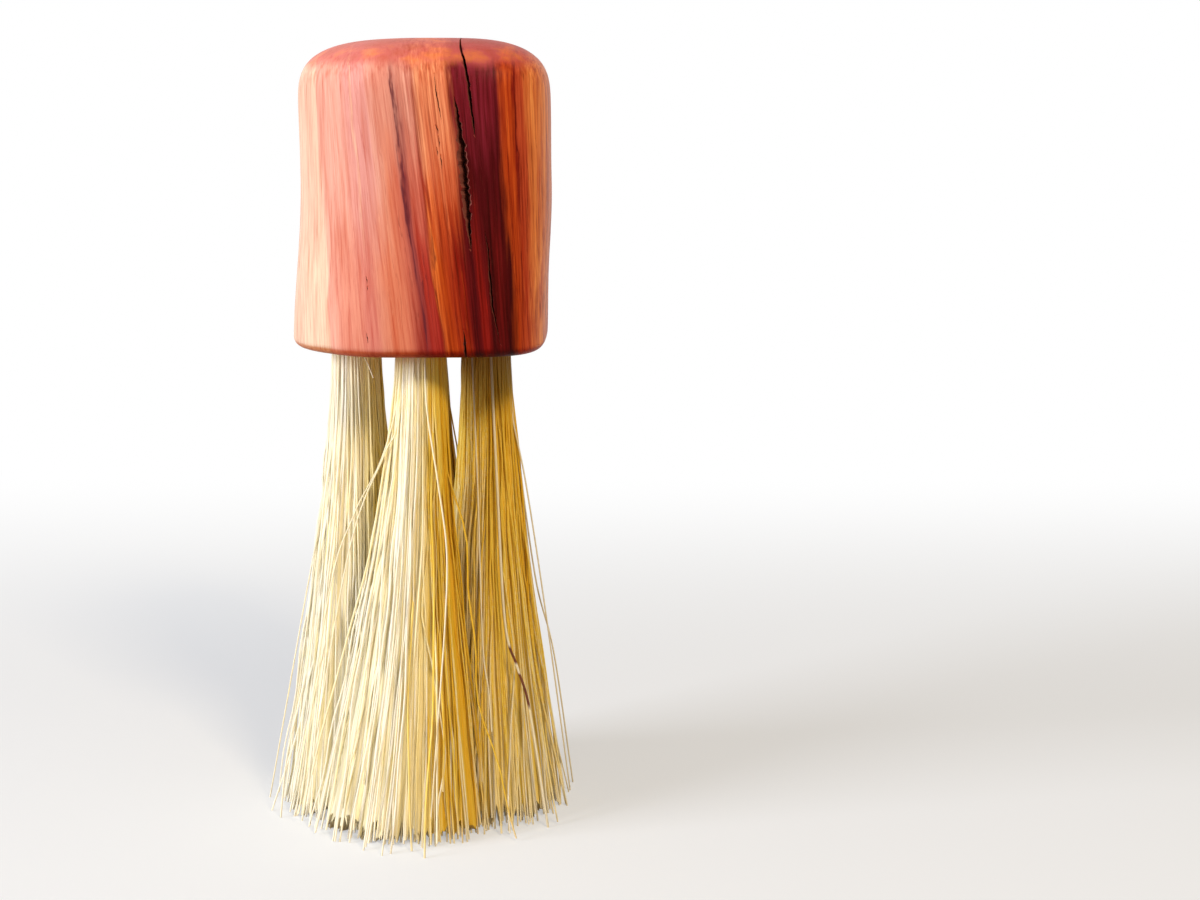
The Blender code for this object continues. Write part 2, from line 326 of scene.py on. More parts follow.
# Drying cracks, each from its top down, as (place across, height over the floor, half width, depth) in
# millimetres
CRACKS = (
    ((11.2, 184.0, 0.08, 13.0), (12.8, 178.3, 0.21, 12.0), (13.6, 176.2, 0.25, 9.0),
     (14.4, 172.8, 0.34, 4.5), (14.9, 167.8, 0.33, 3.2), (15.6, 162.3, 0.20, 2.2),
     (15.9, 160.0, 0.03, 0.5)),
    ((11.5, 168.4, 0.03, 0.5), (11.9, 166.6, 0.28, 1.8), (12.5, 162.1, 0.60, 3.2),
     (12.8, 158.3, 0.82, 3.8), (13.1, 154.0, 0.98, 4.2), (13.9, 144.4, 0.80, 4.0),
     (14.4, 139.0, 0.42, 2.4), (14.7, 135.6, 0.03, 0.5)),
    ((17.8, 139.6, 0.03, 0.4), (18.4, 135.8, 0.15, 1.6), (18.7, 129.9, 0.24, 2.4),
     (19.1, 123.8, 0.24, 2.4), (19.6, 121.1, 0.17, 1.6), (20.8, 115.0, 0.03, 0.4)),
    ((12.9, 118.4, 0.03, 0.4), (13.0, 116.8, 0.16, 1.5), (13.05, 115.1, 0.26, 2.4),
     (13.1, 111.0, 0.40, 4.0)),
    ((7.3, 173.4, 0.02, 0.3), (7.7, 169.4, 0.11, 0.8), (8.3, 166.1, 0.12, 0.9), (8.7, 163.6, 0.02, 0.3)),
    ((7.5, 162.6, 0.02, 0.2), (7.8, 161.6, 0.16, 0.5), (8.0, 160.6, 0.02, 0.2)),
    ((8.1, 160.2, 0.02, 0.2), (8.2, 158.9, 0.14, 0.5), (8.2, 157.8, 0.02, 0.2)),
    ((7.6, 157.9, 0.02, 0.2), (7.8, 156.8, 0.15, 0.5), (7.8, 156.0, 0.02, 0.2)),
    ((8.4, 156.2, 0.02, 0.2), (8.6, 154.9, 0.13, 0.5), (8.7, 153.2, 0.02, 0.2)),
    ((-8.3, 130.1, 0.02, 0.2), (-8.1, 129.2, 0.15, 0.5), (-8.1, 128.3, 0.02, 0.2)),
    ((-8.1, 128.0, 0.02, 0.2), (-8.1, 127.5, 0.12, 0.4), (-8.1, 127.0, 0.02, 0.2)),
    ((-8.4, 117.6, 0.02, 0.2), (-8.3, 116.6, 0.11, 0.4), (-8.2, 115.4, 0.02, 0.2)),
)
CRACK_STEP = 0.8
CRACK_RAGGEDNESS = 0.38
CRACK_OVERHANG = 2.0
CRACK_LEAN = 0.3
CRACK_TOP_SHARE = 0.985

# Form of the bundles
BRISTLE_LENGTH = 112.0 * MM
ROOT_RISE = 4.0 * MM
FLARE_POWER = 1.52
FOOT_WIDTH = 71.5 * MM
FOOT_DEPTH = 65.2 * MM
FOOT_TWIST = math.radians(12)
FOOT_RIGHT = -0.9 * MM
FOOT_BACK = -0.1 * MM
TUFT_REACH = 24.0 * MM
TUFT_MINGLING = 1.2 * MM
CORNER_SOFTNESS = 7
GOLDEN_ANGLE = math.pi * (3 - math.sqrt(5))
TUFT_SEED = 11

# Single fibres, which crowd towards the outside of a bundle
FIBRE_COUNT = 560
FIBRE_CROWDING = 0.28
FIBRE_RADIUS = 0.260 * MM
RADIUS_RANGE = (0.80, 1.16)
FIBRE_TAPER = 0.16
FIBRE_SIDES = 5
FIBRE_STEPS = 22
TIP_SPREAD = 0.93
TIP_SCATTER = 1.8 * MM
WILD_SHARE = 0.14
WILDNESS = 2.0

# Bow and waves of a fibre: each wave's size and its range of half turns, and where the waves are full
BOW = 0.8 * MM
OWN_BOW = 0.7
WAVES = ((0.32 * MM, 2.0, 4.5), (0.14 * MM, 6.0, 11.0))
WAVES_FULL = 1 / 3

# Locks that the fibres lean to
LOCKS = 30
LOCK_PULL = 0.45
LOCK_TURN = 0.2
LOCK_SHADE = 0.10

# Tips that end above the floor, as (luck that it takes, least and most height in millimetres)
SHORTFALLS = ((0.97, 4, 14), (0.60, 0.4, 3.0), (0.25, 0.0, 0.8))

# Fluted body of the fibres packed inside a bundle
CORE_SHARE = 0.96
CORE_FLUTES = 260
CORE_REACH = (0.95, 0.998)
CORE_END_RINGS = 2
CORE_END_SHARE = 0.85
CORE_ROUGHNESS = 0.45 * MM
# Painted shade: the packed body is more golden than the outer fibres, as in the shaded gaps between them
CORE_SHADE_TONE = 0.88
CORE_TONE_SPREAD = 0.14

# Colours of the fibres, from golden at 0 to ivory at 1
FIBRE_TONES = (
    (0.0, (0.83, 0.51, 0.015)),
    (0.30, (0.96, 0.72, 0.11)),
    (0.60, (0.99, 0.88, 0.50)),
    (1.0, (0.99, 0.97, 0.87)),
)
CUT_END = (0.99, 0.96, 0.80)
CUT_END_SHARE = 0.6
TIP_SHARE = 0.07
# Brown of the real stains on stray fibres, also used as painted shade near the wood
STAIN_AND_SHADE = (0.16, 0.035, 0.012)
FIBRE_GRAIN = (91.0, 0.09)
FIBRE_PATCHES = 0.14
FIBRE_ROUGHNESS = (0.42, 0.56)
FIBRE_SPECULAR = 0.55

# Tones of a bundle, with painted light and shade: its outside is ivory on the side that faces the window
# lamp (painted light), golden on its other side and inside (painted shade), paler towards the foot, more so
# on the right-front side, and golden near the wood (painted shade under the block)
IVORY = 0.88
# Painted light: outer fibres on the side facing the window lamp are ivory; inner fibres stay golden as
# painted shade
LIT_SIDE = math.radians(207)
PALE_MIDDLE = 0.46
PALE_SLOPE = 0.9
PALE_FROM = 0.40
PALE_SPAN = 0.5
# Paler towards the foot, more so on the right-front side: that side, its middle and slope, how far up it
# reaches and how much paler the foot is
PALER_FOOT_SIDE = math.radians(335)
PALER_FOOT_MIDDLE = 0.5
PALER_FOOT_SLOPE = 0.8
PALER_FOOT_REACH = 0.55
PALER_FOOT_LIFT = 0.04
# Painted shade: bundles turn golden from this share of their length up to the wood, under the block
ROOT_SHADE_START = 0.60
# Painted shade: fibres are browned from this height up to the wood
ROOT_SHADE_FROM = 92.0 * MM
TONE_SPREAD = 0.08
STREAK_SHARE = 0.40
STREAK_TONE = 0.50
STREAK_TOP = 0.8
# Painted light: how ivory each bundle's side facing the window lamp is
LIT_SIDE_PALENESS = {"front": 1.0, "right": 0.40, "back": 0.8, "left": 1.2}
# Painted shade: tone of each bundle's side away from the window lamp
SHADE_SIDE_TONE = {"front": 0.03, "right": 0.13, "back": 0.12, "left": 0.45}
# How much paler each bundle's right-front side is towards the foot
PALER_FOOT_SIDE_SHARE = {"front": 0.04, "right": 0.34, "back": 0.20, "left": 0.08}
# Painted shade: how golden each bundle is near the wood, under the block
ROOT_SHADE_GOLD = {"front": 0.15, "right": 0.9, "back": 0.4, "left": 0.0}
# Painted shade: how brown each bundle is near the wood, where the block's shadow falls
PAINTED_ROOT_SHADE = {"front": 0.0, "right": 0.60, "back": 0.15, "left": 0.0}

# Single fibres that stand out, by bundle: points from the root down in millimetres, and any stained heights
STRAYS = {
    "left": (
        (((-17.0, -2.0, 116), (-19.3, -3.0, 96), (-23.3, -3.0, 72), (-28.5, -2.0, 47.7),
          (-38.3, -0.5, 0)), ()),
        (((-12.8, -4.8, 116), (-12.3, -5.9, 111), (-10.9, -6.4, 107.9), (-9.6, -7.5, 104.9)), ()),
    ),
    "front": (
        (((-1.5, -16.3, 116), (-3.1, -17.3, 101), (-7.2, -16.4, 87.2), (-14.4, -11.9, 73.3),
          (-20.5, -12, 55), (-30, -12.5, 0)), ()),
        (((-0.8, -17.2, 116), (-3.2, -18.2, 95.7), (-6.5, -17.4, 88.2), (-15.6, -14.0, 64.4),
          (-28, -15.5, 0)), ()),
        (((3.4, -18.6, 116), (3.9, -20.9, 100), (6.3, -23.6, 84), (8.2, -25.6, 69), (7.9, -27.2, 54),
          (6.0, -28.8, 30), (3.5, -30.5, 0)), ()),
        (((1.2, -18.9, 116), (0.0, -23.4, 80), (-3.3, -28.4, 30), (-6.6, -36.0, 0)), ()),
    ),
    "right": (
        (((19.8, 0.8, 116), (21.6, 0.2, 97), (25.1, 0.0, 78.3), (29.4, 2.0, 47.3), (35.3, 4.2, 0)), ()),
        (((20.2, 3.2, 116), (23.6, 3.0, 82), (27.2, 3.0, 54), (31.4, 5.4, 35), (35.9, 9.6, 0)), ()),
        (((20.4, 1.6, 116), (24.4, 0.8, 70), (30.3, 0.0, 24.5), (35.0, 2.8, 0)), ()),
        (((17.0, -2.4, 116), (18.6, -7.6, 82), (20.5, -13.2, 48.3), (23.5, -15.4, 37.6),
          (26.3, -17.0, 27.9), (30.5, -19.5, 0)), ((38.8, 42.6), (28.0, 36.4))),
        (((12.6, -1.6, 116), (14.2, -8.8, 80), (15.5, -17.2, 44.6), (16.9, -19.8, 33.7),
          (17.7, -22.0, 24.5)), ()),
    ),
    "back": (),
}
STRAY_STEPS = 60
STRAY_TONE = 0.85
STRAY_WIDTH = 0.85
STAINED_WIDTH = 1.35

# Thread and glue
THREAD_TONES = ((0.0, (0.42, 0.33, 0.20)), (1.0, (0.74, 0.66, 0.50)))
THREAD_GRAIN = 900.0
THREAD_ROUGHNESS = 0.7
THREAD_BUMP = 0.2 * MM
THREAD_BUMP_STRENGTH = 0.8
GLUE_TONES = ((0.3, (0.46, 0.28, 0.10)), (0.7, (0.68, 0.50, 0.24)))
GLUE_GRAIN = 350.0
GLUE_ROUGHNESS = (0.18, 0.4)
GLUE_BUMP = 0.3 * MM
GLUE_BUMP_STRENGTH = 0.4


def add_object(name, data):
    item = bpy.data.objects.new(name, data)
    bpy.context.scene.collection.objects.link(item)
    return item


def make_camera():
    data = bpy.data.cameras.new("camera")
    data.lens = CAMERA_LENS
    data.sensor_width = SENSOR_WIDTH
    camera = add_object("camera", data)
    camera.location = CAMERA_PLACE
    camera.rotation_euler = (math.pi / 2 - CAMERA_PITCH, 0, 0)
    bpy.context.scene.camera = camera


def make_lamp(name, turn, rise, distance, size, power, colour):
    """Square soft lamp that points at the brush."""
    level = distance * math.cos(rise)
    away = Vector((level * math.cos(turn), level * math.sin(turn), distance * math.sin(rise)))
    data = bpy.data.lights.new(name, "AREA")
    data.shape = "SQUARE"
    data.size = size
    data.energy = power
    data.color = colour
    lamp = add_object(name, data)
    lamp.location = Vector(AIM) + away
    lamp.rotation_euler = away.to_track_quat("Z", "Y").to_euler()


def make_lights():
    make_lamp("window", *WINDOW)
    make_lamp("room_lamp", *ROOM_LAMP)
    world = bpy.data.worlds.new("sky")
    bpy.context.scene.world = world
    world.use_nodes = True
    background = world.node_tree.nodes["Background"]
    background.inputs["Color"].default_value = (*SKY_COLOUR, 1.0)
    background.inputs["Strength"].default_value = SKY_STRENGTH


class Nodes:
    """Short way to add and link the nodes of one material."""

    def __init__(self, name):
        self.material = bpy.data.materials.new(name)
        self.material.use_nodes = True
        self.tree = self.material.node_tree
        self.shader = self.tree.nodes["Principled BSDF"]

    def add(self, kind, inputs=None, **settings):
        node = self.tree.nodes.new(kind)
        for key, value in settings.items():
            setattr(node, key, value)
        for key, value in (inputs or {}).items():
            self.put(node.inputs[key], value)
        return node

    def put(self, socket, value):
        """Links a node's output to a socket, or sets the socket's own value."""
        if isinstance(value, bpy.types.NodeSocket):
            self.tree.links.new(value, socket)
        elif socket.type == "RGBA":
            socket.default_value = (*value[:3], 1.0)
        else:
            socket.default_value = value

    def set(self, name, value):
        """Gives the shader's input a node's output, or a value of its own."""
        self.put(self.shader.inputs[name], value)

    def math(self, operation, first, second=0.0):
        return self.add("ShaderNodeMath", {0: first, 1: second}, operation=operation).outputs[0]

    def attribute(self, name):
        return self.add("ShaderNodeAttribute", attribute_name=name).outputs["Fac"]

    def place(self):
        """Coordinates of the shaded point in millimetres."""
        coordinates = self.add("ShaderNodeTexCoord").outputs["Object"]
        split = self.add("ShaderNodeSeparateXYZ", {0: coordinates})
        return [self.math("MULTIPLY", output, 1 / MM) for output in split.outputs]

    def stretched(self, place, scales):
        """Vector of the place's values, each multiplied by its own scale."""
        scaled = [self.math("MULTIPLY", value, scale) for value, scale in zip(place, scales)]
        return self.add("ShaderNodeCombineXYZ", dict(enumerate(scaled))).outputs[0]

    def noise(self, vector, scale=1.0, detail=3.0, roughness=0.55):
        inputs = {"Vector": vector, "Scale": scale, "Detail": detail, "Roughness": roughness}
        return self.add("ShaderNodeTexNoise", inputs).outputs["Fac"]

    def remap(self, value, low, high, to_low=0.0, to_high=1.0, smooth=False):
        inputs = {"Value": value, "From Min": low, "From Max": high, "To Min": to_low, "To Max": to_high}
        kind = "SMOOTHSTEP" if smooth else "LINEAR"
        return self.add("ShaderNodeMapRange", inputs, interpolation_type=kind).outputs["Result"]

    def mix(self, share, first, second, blend="MIX"):
        node = self.add("ShaderNodeMix", data_type="RGBA", blend_type=blend)
        for name, value in (("Factor_Float", share), ("A_Color", first), ("B_Color", second)):
            self.put(next(socket for socket in node.inputs if socket.identifier == name), value)
        return next(socket for socket in node.outputs if socket.identifier == "Result_Color")

    def ramp(self, value, stops):
        """Colour ramp through (place, colour) stops, with places from 0 to 1."""
        node = self.add("ShaderNodeValToRGB", {"Fac": value})
        ramp = node.color_ramp
        while len(ramp.elements) < len(stops):
            ramp.elements.new(1.0)
        for element, (place, colour) in zip(ramp.elements, stops):
            element.position = place
            element.color = (*colour, 1.0)
        return node.outputs["Color"]

    def bump(self, height, distance, strength=1.0):
        inputs = {"Height": height, "Distance": distance, "Strength": strength}
        return self.add("ShaderNodeBump", inputs).outputs["Normal"]


def band_stops(bands):
    span = BANDS_TO - BANDS_FROM
    return [((place - BANDS_FROM) / span, colour) for place, colour in bands]


def with_patches(nodes, colour, moved, height):
    """Patches of another colour that come in with the height."""
    for left, right, start, full, patch_colour, share in PATCHES:
        rising = nodes.remap(moved, left - PATCH_SOFTNESS, left + PATCH_SOFTNESS)
        falling = nodes.remap(moved, right - PATCH_SOFTNESS, right + PATCH_SOFTNESS, share, 0.0)
        across = nodes.math("MULTIPLY", rising, falling)
        mask = nodes.math("MULTIPLY", across, nodes.remap(height, start, full))
        colour = nodes.mix(mask, colour, patch_colour)
    return colour


def with_lines(nodes, colour, moved, place):
    """Thin wavy lines along the grain, broken here and there."""
    wobble = nodes.noise(nodes.stretched(place, WOBBLE_GRAIN))
    wavy = nodes.math("ADD", moved, nodes.remap(wobble, *WOBBLE_RANGE, -LINE_WOBBLE, LINE_WOBBLE))
    broken = nodes.remap(nodes.noise(nodes.stretched(place, GAP_GRAIN)), *LINE_GAPS)
    for line_place, half_width, low, high, line_colour, share in LINES:
        away = nodes.math("ABSOLUTE", nodes.math("SUBTRACT", wavy, line_place))
        line = nodes.remap(away, half_width, LINE_CORE * half_width, 0.0, share)
        off = nodes.math("ABSOLUTE", nodes.math("SUBTRACT", place[2], (high + low) / 2))
        inside = nodes.remap(nodes.math("SUBTRACT", (high - low) / 2, off), 0.0, LINE_FADE)
        mask = nodes.math("MULTIPLY", nodes.math("MULTIPLY", line, broken), inside)
        colour = nodes.mix(mask, colour, line_colour)
    return colour


def wood_colour(nodes, place):
    """Colour of the long grain, and its fine streaks, which also make the relief."""
    ring, _, along = place
    drift = nodes.noise(nodes.stretched(place, DRIFT_GRAIN), detail=2.0)
    flame = nodes.noise(nodes.stretched(place, FLAME_GRAIN))
    moved = nodes.math("ADD", ring, nodes.remap(drift, 0.0, 1.0, -BAND_DRIFT, BAND_DRIFT))
    moved = nodes.math("ADD", moved, nodes.remap(flame, 0.0, 1.0, -BAND_FLAME, BAND_FLAME))
    height = nodes.math("ADD", along, nodes.remap(flame, 0.0, 1.0, -FLAME_RISE, FLAME_RISE))
    spot = nodes.remap(moved, BANDS_FROM, BANDS_TO)
    lower = nodes.ramp(spot, band_stops(LOWER_BANDS))
    upper = nodes.ramp(spot, band_stops(UPPER_BANDS))
    colour = nodes.mix(nodes.remap(height, *BANDS_CHANGE, smooth=True), lower, upper)
    colour = with_patches(nodes, colour, moved, height)
    colour = with_lines(nodes, colour, moved, place)

    broad = nodes.noise(nodes.stretched(place, BROAD_GRAIN), detail=2.0)
    colour = nodes.mix(1.0, colour, nodes.ramp(broad, BROAD_TINTS), "MULTIPLY")
    streak = nodes.noise(nodes.stretched(place, STREAK_GRAIN), roughness=0.6)
    colour = nodes.mix(1.0, colour, nodes.ramp(streak, STREAK_TINTS), "MULTIPLY")
    ribbon = nodes.noise(nodes.stretched(place, RIBBON_GRAIN), detail=4.0, roughness=0.65)
    ribbons = nodes.mix(1.0, colour, nodes.ramp(ribbon, RIBBON_TINTS), "MULTIPLY")
    return nodes.mix(nodes.remap(moved, *RIBBONS_FROM), colour, ribbons), streak


def wood_material():
    """Striped heartwood. The attribute ring is each point's place across the growth rings."""
    nodes = Nodes("striped_wood")
    _, back, along = nodes.place()
    place = (nodes.attribute("ring"), back, along)
    colour, streak = wood_colour(nodes, place)

    pore = nodes.noise(nodes.stretched(place, PORE_GRAIN), detail=1.0)
    pores = nodes.remap(pore, *PORE_RANGE, 1.0, 0.0, smooth=True)
    colour = nodes.mix(nodes.math("MULTIPLY", pores, PORE_SHARE), colour, PORE)
    mottle = nodes.noise(nodes.stretched(place, MOTTLE_GRAIN), detail=4.0)
    # End grain on the upward-facing top, partly painted sheen
    end_and_sheen_share = nodes.math("MULTIPLY", nodes.attribute("end_grain_and_sheen"), END_GRAIN_AND_SHEEN_SHARE)
    colour = nodes.mix(end_and_sheen_share, colour, nodes.ramp(mottle, END_GRAIN_AND_SHEEN_COLOURS))
    # Painted shade on the downward-facing rim at the foot
    shaded = nodes.mix(1.0, colour, FOOT_SHADE, "MULTIPLY")
    colour = nodes.mix(nodes.attribute("painted_foot_shade"), colour, shaded)
    inside = nodes.attribute("inside")
    colour = nodes.mix(inside, colour, CRACK_WALL)

    nodes.set("Base Color", colour)
    rough = nodes.remap(streak, *NOISE_RANGE, *WOOD_ROUGHNESS)
    rough = nodes.math("MAXIMUM", rough, nodes.math("MULTIPLY", inside, CRACK_ROUGHNESS))
    nodes.set("Roughness", rough)
    nodes.set("Specular IOR Level", WOOD_SPECULAR)
    relief = nodes.math("MULTIPLY", streak, STREAK_RELIEF)
    relief = nodes.math("ADD", relief, nodes.math("MULTIPLY", pores, PORE_RELIEF))
    nodes.set("Normal", nodes.bump(relief, GRAIN_BUMP, GRAIN_BUMP_STRENGTH))
    return nodes.material


def fibre_material():
    """Dry plant fibre. The attribute tone is its colour with painted light and shade, dark a stained
    stretch or painted shade near the wood, and tip its cut end.
    """
    nodes = Nodes("plant_fibre")
    tone = nodes.attribute("tone")
    along = nodes.place()[2]
    patch = nodes.noise(nodes.stretched((tone, along), FIBRE_GRAIN), detail=2.0)
    mixed = nodes.math("ADD", tone, nodes.remap(patch, *NOISE_RANGE, -FIBRE_PATCHES, FIBRE_PATCHES))
    colour = nodes.ramp(mixed, FIBRE_TONES)
    colour = nodes.mix(nodes.math("MULTIPLY", nodes.attribute("tip"), CUT_END_SHARE), colour, CUT_END)
    # Real stains, and painted shade near the wood
    colour = nodes.mix(nodes.attribute("dark"), colour, STAIN_AND_SHADE)
    nodes.set("Base Color", colour)
    nodes.set("Roughness", nodes.remap(patch, *NOISE_RANGE, *FIBRE_ROUGHNESS))
    nodes.set("Specular IOR Level", FIBRE_SPECULAR)
    return nodes.material


def thread_material():
    """Waxed twine: slanted strands across each turn."""
    nodes = Nodes("waxed_thread")
    place = nodes.add("ShaderNodeTexCoord").outputs["Object"]
    inputs = {"Vector": place, "Scale": THREAD_GRAIN, "Distortion": 1.5, "Detail": 2.0}
    strands = nodes.add("ShaderNodeTexWave", inputs, bands_direction="DIAGONAL").outputs["Fac"]
    nodes.set("Base Color", nodes.ramp(strands, THREAD_TONES))
    nodes.set("Roughness", THREAD_ROUGHNESS)
    nodes.set("Normal", nodes.bump(strands, THREAD_BUMP, THREAD_BUMP_STRENGTH))
    return nodes.material


def glue_material():
    """Cured glue, amber and a little cloudy."""
    nodes = Nodes("cured_glue")
    cloud = nodes.noise(nodes.add("ShaderNodeTexCoord").outputs["Object"], GLUE_GRAIN)
    nodes.set("Base Color", nodes.ramp(cloud, GLUE_TONES))
    nodes.set("Roughness", nodes.remap(cloud, *NOISE_RANGE, *GLUE_ROUGHNESS))
    nodes.set("Normal", nodes.bump(cloud, GLUE_BUMP, GLUE_BUMP_STRENGTH))
    return nodes.material


def stage_material():
    """Pale floor that keeps the brush's shadow, and runs into a wall that is white to the eye."""
    nodes = Nodes("pale_stage")
    path = nodes.add("ShaderNodeLightPath").outputs
    seen = nodes.math("MAXIMUM", path["Is Camera Ray"], path["Is Glossy Ray"])
    seen = nodes.math("MAXIMUM", seen, path["Is Transmission Ray"])
    far = nodes.remap(nodes.place()[1], FADE_FROM / MM, FADE_TO / MM, smooth=True)
    floor = nodes.mix(far, FLOOR_COLOUR, (0.0, 0.0, 0.0))
    nodes.set("Base Color", nodes.mix(seen, FLOOR_BOUNCE, floor))
    nodes.set("Roughness", FLOOR_ROUGHNESS)
    nodes.set("Specular IOR Level", 0.0)
    nodes.set("Emission Color", (1.0, 1.0, 1.0, 1.0))
    lift = nodes.remap(far, 0.0, 1.0, FLOOR_LIFT, 1.0)
    nodes.set("Emission Strength", nodes.math("MULTIPLY", seen, lift))
    return nodes.material


def make_stage():
    """Floor that bends up into a wall behind the brush."""
    profile = [(STAGE_FRONT, 0.0)]
    for step in range(STAGE_STEPS + 1):
        angle = math.pi / 2 * step / STAGE_STEPS
        profile.append((STAGE_BACK + STAGE_BEND * math.sin(angle), STAGE_BEND * (1 - math.cos(angle))))
    profile.append((STAGE_BACK + STAGE_BEND, STAGE_TOP))
    points = [(side * STAGE_HALF_WIDTH, y, z) for y, z in profile for side in (-1, 1)]
    faces = [(2 * i, 2 * i + 1, 2 * i + 3, 2 * i + 2) for i in range(len(profile) - 1)]
    mesh = bpy.data.meshes.new("stage")
    mesh.from_pydata(points, [], faces)
    mesh.shade_smooth()
    mesh.materials.append(stage_material())
    add_object("stage", mesh)


def smooth_share(value):
    """Eases a value from 0 to 1 between its ends."""
    value = min(max(value, 0.0), 1.0)
    return value * value * (3 - 2 * value)


def plan_power(angle):
    """Roundness of the block's plan in this direction, eased from each corner to the next."""
    turns = (angle / (math.pi / 2) - 0.5) % len(CORNER_POWERS)
    corner = int(turns)
    share = smooth_share(turns - corner)
    return CORNER_POWERS[corner] * (1 - share) + CORNER_POWERS[(corner + 1) % len(CORNER_POWERS)] * share


def plan_point(angle, half_width, half_depth):
    power = plan_power(angle)
    across = abs(math.cos(angle) / half_width) ** power
    along = abs(math.sin(angle) / half_depth) ** power
    radius = (across + along) ** (-1 / power)
    return radius * math.cos(angle), radius * math.sin(angle)


def block_section(height, share):
    """Sideways shift of the block's centre line, and flare of its wall, for a section at this height."""
    shift = TOP_SHIFT * smooth_share(height / SHIFT_HEIGHT) + CROWN_SHIFT * (1 - share)
    flare = FOOT_FLARE * (1 - smooth_share(height / SHIFT_HEIGHT))
    return shift, flare


def shoulder_share(height):
    """Share of the plan that is left at this height over the underside."""
    rise = (height - (BLOCK_HEIGHT - SHOULDER_HEIGHT)) / SHOULDER_HEIGHT
    if rise <= 0:
        return 1.0
    return (1 - min(rise, 1.0) ** SHOULDER_POWER) ** (1 / SHOULDER_POWER)


def block_levels():
    """The block's sections from the underside up, as (height, inset of the wall, share of the plan)."""
    levels = []
    for step in range(EDGE_STEPS):
        angle = math.pi / 2 * step / EDGE_STEPS
        height = BOTTOM_EDGE_RADIUS * (1 - math.cos(angle))
        levels.append((height, BOTTOM_EDGE_RADIUS * (1 - math.sin(angle)), 1.0))
    shoulder = BLOCK_HEIGHT - SHOULDER_HEIGHT
    for step in range(WALL_STEPS):
        height = BOTTOM_EDGE_RADIUS + (shoulder - BOTTOM_EDGE_RADIUS) * step / WALL_STEPS
        levels.append((height, 0.0, 1.0))
    for step in range(SHOULDER_STEPS):
        rest = step / SHOULDER_STEPS
        eased = rest**SHOULDER_EASE / (rest**SHOULDER_EASE + (1 - rest) ** SHOULDER_EASE)
        angle = math.pi / 2 * eased
        height = shoulder + SHOULDER_HEIGHT * math.sin(angle) ** (2 / SHOULDER_POWER)
        levels.append((height, 0.0, math.cos(angle) ** (2 / SHOULDER_POWER)))
    return levels


def front_y(x, height):
    """Where the front of the block is at this place across it, from its axis."""
    share = shoulder_share(height)
    shift, flare = block_section(height, share)
    half_width = (BLOCK_WIDTH / 2 + flare) * share
    half_depth = BLOCK_DEPTH / 2 * share
    low, high = math.pi, math.tau
    for _ in range(FRONT_HALVINGS):
        middle = (low + high) / 2
        if plan_point(middle, half_width, half_depth)[0] + shift < x:
            low = middle
        else:
            high = middle
    return plan_point(low, half_width, half_depth)[1]


def join_rings(shape, lower, upper):
    for side in range(len(lower)):
        after = (side + 1) % len(lower)
        shape.faces.new((lower[side], lower[after], upper[after], upper[side]))


def close_to_point(shape, ring, point):
    for side in range(len(ring)):
        shape.faces.new((ring[side], ring[(side + 1) % len(ring)], point))


def finish_object(name, shape, material, origin):
    bmesh.ops.recalc_face_normals(shape, faces=shape.faces)
    mesh = bpy.data.meshes.new(name)
    shape.to_mesh(mesh)
    shape.free()
    mesh.transform(Matrix.Translation(origin))
    mesh.materials.append(material)
    return add_object(name, mesh)


def block_body(material, foot):
    """The block's outside, with the slight unevenness of handwork."""
    shape = bmesh.new()
    rings = []
    for height, inset, share in block_levels():
        shift, flare = block_section(height, share)
        half_width = (BLOCK_WIDTH / 2 + flare - inset) * share
        half_depth = (BLOCK_DEPTH / 2 - inset) * share
        ring = []
        for side in range(BLOCK_SIDES):
            x, y = plan_point(math.tau * side / BLOCK_SIDES, half_width, half_depth)
            spot = Vector((x, y, height)) / HAND_WORK_SIZE
            swell = HAND_WORK * noise.noise(spot) * smooth_share(height / (2 * BOTTOM_EDGE_RADIUS))
            stretch = 1 + swell / (BLOCK_WIDTH / 2)
            ring.append(shape.verts.new((x * stretch + shift, y * stretch, height)))
        rings.append(ring)
    for lower, upper in zip(rings, rings[1:]):
        join_rings(shape, lower, upper)
    shape.faces.new(rings[0])
    crown = shape.verts.new((TOP_SHIFT + CROWN_SHIFT, 0, BLOCK_HEIGHT))
    close_to_point(shape, rings[-1], crown)
    return finish_object("brush_block", shape, material, foot)


def hole_cutter(station, foot, material):
    """Round drill with a pointed end."""
    shape = bmesh.new()
    angles = [math.tau * i / HOLE_SIDES for i in range(HOLE_SIDES)]
    circle = [(HOLE_RADIUS * math.cos(angle), HOLE_RADIUS * math.sin(angle)) for angle in angles]
    rings = []
    for height in (-BOTTOM_EDGE_RADIUS, HOLE_DEPTH / 2, HOLE_DEPTH):
        rings.append([shape.verts.new((x, y, height)) for x, y in circle])
    for lower, upper in zip(rings, rings[1:]):
        join_rings(shape, lower, upper)
    shape.faces.new(rings[0])
    point = shape.verts.new((0, 0, HOLE_DEPTH + HOLE_RADIUS / math.tan(DRILL_POINT / 2)))
    close_to_point(shape, rings[-1], point)
    return finish_object("drill", shape, material, (station.x, station.y, foot.z))


def crack_stations(points):
    """Points along a crack at short steps."""
    stations = []
    for start, end in zip(points, points[1:]):
        steps = max(1, round((start[1] - end[1]) / CRACK_STEP))
        for step in range(steps):
            share = step / steps
            stations.append([a + (b - a) * share for a, b in zip(start, end)])
    stations.append(list(points[-1]))
    return stations


